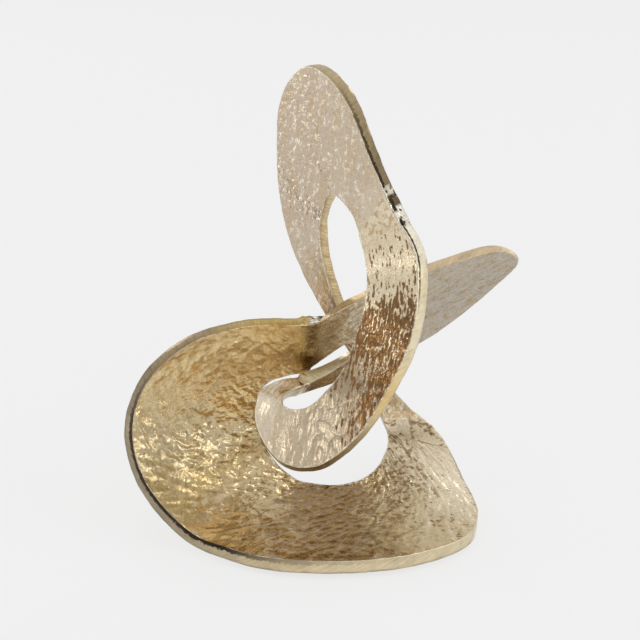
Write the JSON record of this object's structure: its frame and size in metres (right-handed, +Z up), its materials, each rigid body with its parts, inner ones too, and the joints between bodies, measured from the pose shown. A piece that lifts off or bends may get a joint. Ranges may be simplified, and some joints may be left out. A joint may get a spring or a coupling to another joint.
{
  "type": "loop sculpture",
  "caption": "Tabletop sculpture of one endless hammered metal band that loops through itself, made of welded cast plates and standing on its flat dished foot.",
  "frame": {"origin": "middle of the footprint's bounding box, on the table", "axes": "+Z up, +X to the right and +Y away from someone facing the hammered faces"},
  "size_m": [0.2364, 0.1596, 0.2682],
  "materials": {
    "plate_metal": "hammered, champagne gold with brown lacquer in the hollows, satin edges",
    "weld_metal": "ground smooth, pale gold",
    "felt": "matte felt"
  },
  "bodies": {
    "root": {"dish_plate": "plate_metal", "upright_plate": "plate_metal", "front_loop_plate": "plate_metal", "wing_plate": "plate_metal", "weld_dish_upright": "weld_metal", "weld_upright_loop": "weld_metal", "weld_loop_wing": "weld_metal", "weld_dish_wing": "weld_metal", "felt_pad_1": "felt", "felt_pad_2": "felt", "felt_pad_3": "felt", "felt_pad_4": "felt"}
  },
  "joints": []
}
